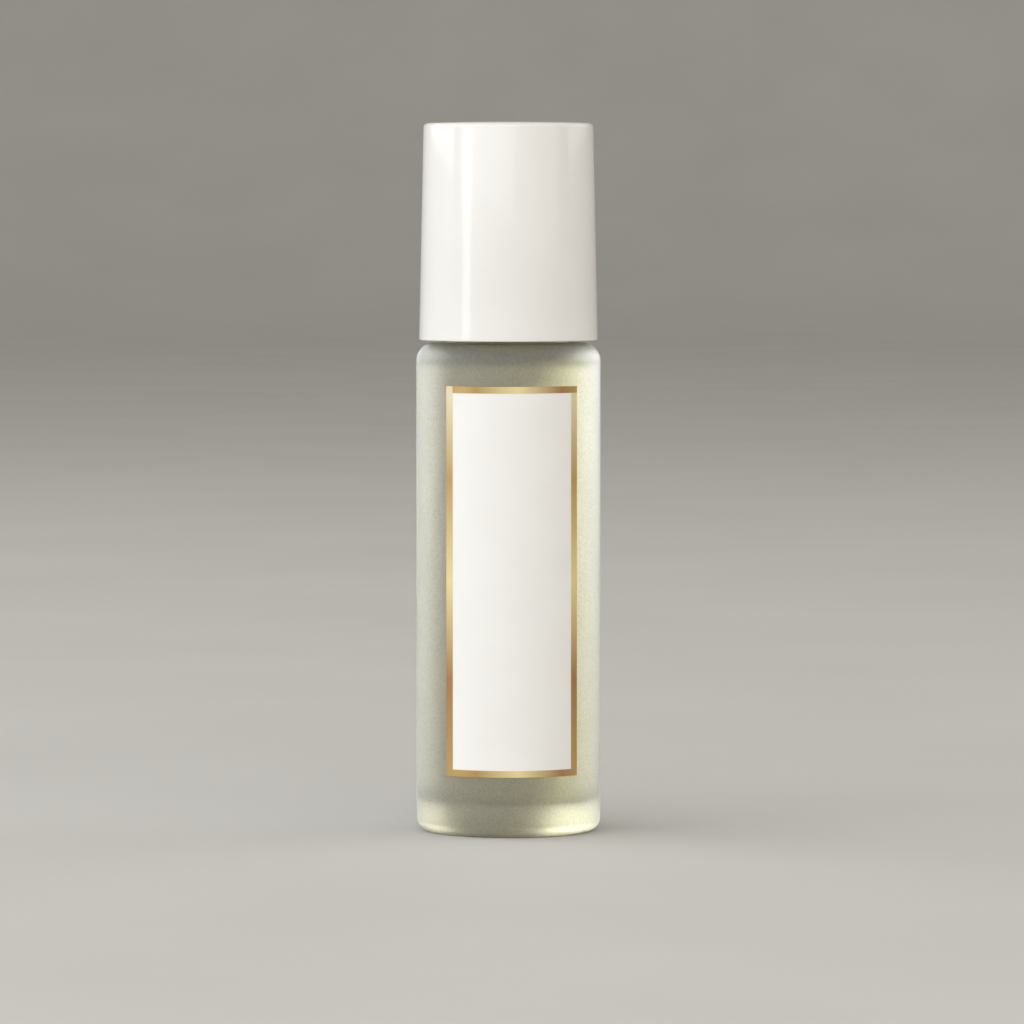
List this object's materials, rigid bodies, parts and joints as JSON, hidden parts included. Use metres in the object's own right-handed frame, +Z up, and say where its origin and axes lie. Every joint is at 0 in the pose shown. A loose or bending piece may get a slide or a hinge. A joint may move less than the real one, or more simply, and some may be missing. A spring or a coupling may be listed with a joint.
{
  "type": "roll on bottle",
  "caption": "Frosted glass cylinder bottle with a steel roller ball in a pressed-in housing, a tall white screw cap and a gold-edged front label, for dabbing on perfume.",
  "frame": {"origin": "middle of the foot, on the surface that the bottle stands on", "axes": "+Z up along the bottle's axis, -Y out of the label, +X to the label's right"},
  "size_m": [0.02, 0.0201, 0.0771],
  "materials": {
    "frosted_glass": "satin",
    "perfume": "gloss",
    "housing_plastic": "satin",
    "ball_steel": "polished",
    "liner_foam": "matte",
    "insert_plastic": "satin",
    "cap_plastic": "gloss",
    "label_white": "satin",
    "label_gold": "polished"
  },
  "bodies": {
    "bottle": {"glass_bottle": "frosted_glass", "perfume_fill": "perfume", "roller_housing": "housing_plastic", "label_film": "label_white", "label_foil_border": "label_gold"},
    "ball": {"roller_ball": "ball_steel"},
    "liner": {"cap_liner": "liner_foam"},
    "cap": {"cap_insert": "insert_plastic", "cap_shell": "cap_plastic"}
  },
  "joints": [
    {"name": "ball_roll", "type": "hinge", "parent": "bottle", "child": "ball", "pos_m": [0, 0, 0.06688], "axis": [1, 0, 0], "continuous": true},
    {"name": "cap_lift", "type": "slide", "parent": "bottle", "child": "liner", "axis": [0, 0, 1], "range_m": [0, 0.021]},
    {"name": "cap_turn", "type": "hinge", "parent": "liner", "child": "cap", "pos_m": [0, 0, 0.0734], "axis": [0, 0, 1], "range_deg": [0, 2520.5]}
  ],
  "couplings": [
    {"joint": "cap_turn", "follows": "cap_lift", "rad_per_m": 2094.4}
  ]
}
